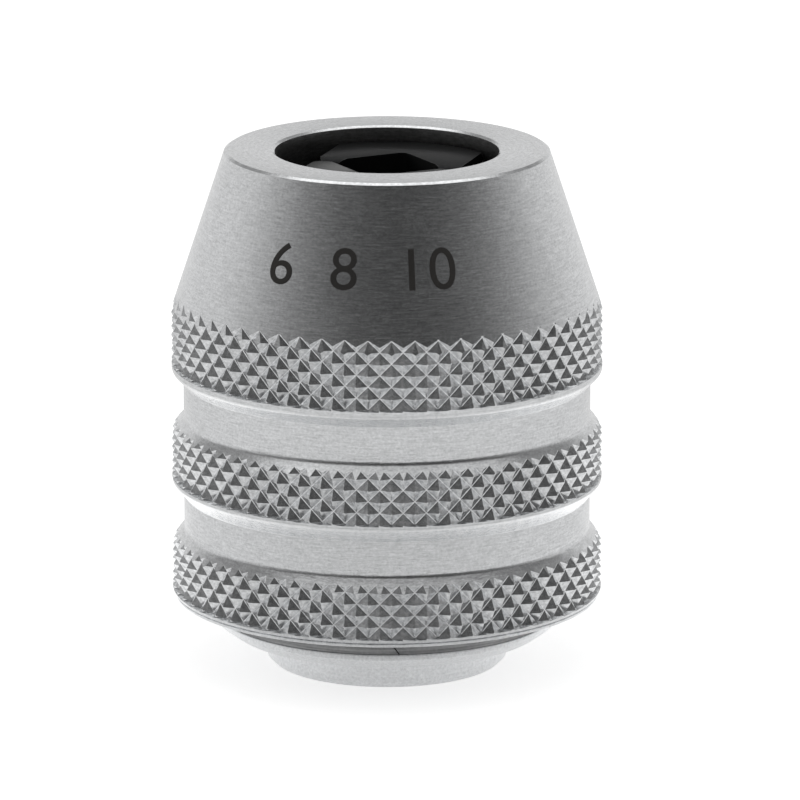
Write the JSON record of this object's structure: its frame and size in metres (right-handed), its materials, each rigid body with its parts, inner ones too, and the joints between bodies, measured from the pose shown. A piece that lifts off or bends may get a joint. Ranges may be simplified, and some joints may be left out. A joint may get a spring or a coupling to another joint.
{
  "type": "tap chuck",
  "caption": "Screw-tightened two-jaw tap chuck with a knurled conical sleeve, vee jaws pushed apart by springs, and a square drive socket in its rear hub.",
  "frame": {"origin": "centre of the hub's rear face, which is the lowest face, on the chuck's axis", "axes": "+Z along the chuck's axis towards the nose; X and Y square to the flats of the drive socket and of the tap's square; the jaws slide along the diagonal between +X and +Y"},
  "size_m": [0.027, 0.027, 0.0328],
  "materials": {
    "turned_steel": "fine turned, satin",
    "dark_spring_steel": "dark tempered spring steel",
    "satin_chrome": "satin, with fine lathe marks round the cone",
    "black_oxide": "blackened hardened steel",
    "bright_wire": "drawn spring wire"
  },
  "bodies": {
    "body": {"body": "turned_steel", "jaw_spring_a": "bright_wire", "jaw_spring_b": "bright_wire"},
    "split_ring": {"split_ring": "dark_spring_steel"},
    "sleeve": {"sleeve": "satin_chrome"},
    "jaw_a": {"jaw_a": "black_oxide"},
    "jaw_b": {"jaw_b": "black_oxide"}
  },
  "joints": [
    {"name": "sleeve_turn", "type": "hinge", "parent": "body", "child": "split_ring", "pos_m": [0, 0, 0.00425], "axis": [0, 0, 1], "range_deg": [-259, 1076]},
    {"name": "sleeve_travel", "type": "slide", "parent": "split_ring", "child": "sleeve", "axis": [0, 0, 1], "range_m": [-0.00108, 0.00449]},
    {"name": "jaw_a_slide", "type": "slide", "parent": "body", "child": "jaw_a", "axis": [0.7071, 0.7071, 0], "range_m": [-0.00029, 0.0012], "deforming": ["jaw_spring_a"]},
    {"name": "jaw_b_slide", "type": "slide", "parent": "body", "child": "jaw_b", "axis": [-0.7071, -0.7071, 0], "range_m": [-0.00029, 0.0012], "deforming": ["jaw_spring_b"]}
  ],
  "couplings": [
    {"joint": "sleeve_travel", "follows": "sleeve_turn", "m_per_rad": 0.00023873},
    {"joint": "jaw_a_slide", "follows": "sleeve_turn", "m_per_rad": 0.000063968},
    {"joint": "jaw_b_slide", "follows": "sleeve_turn", "m_per_rad": 0.000063968}
  ]
}
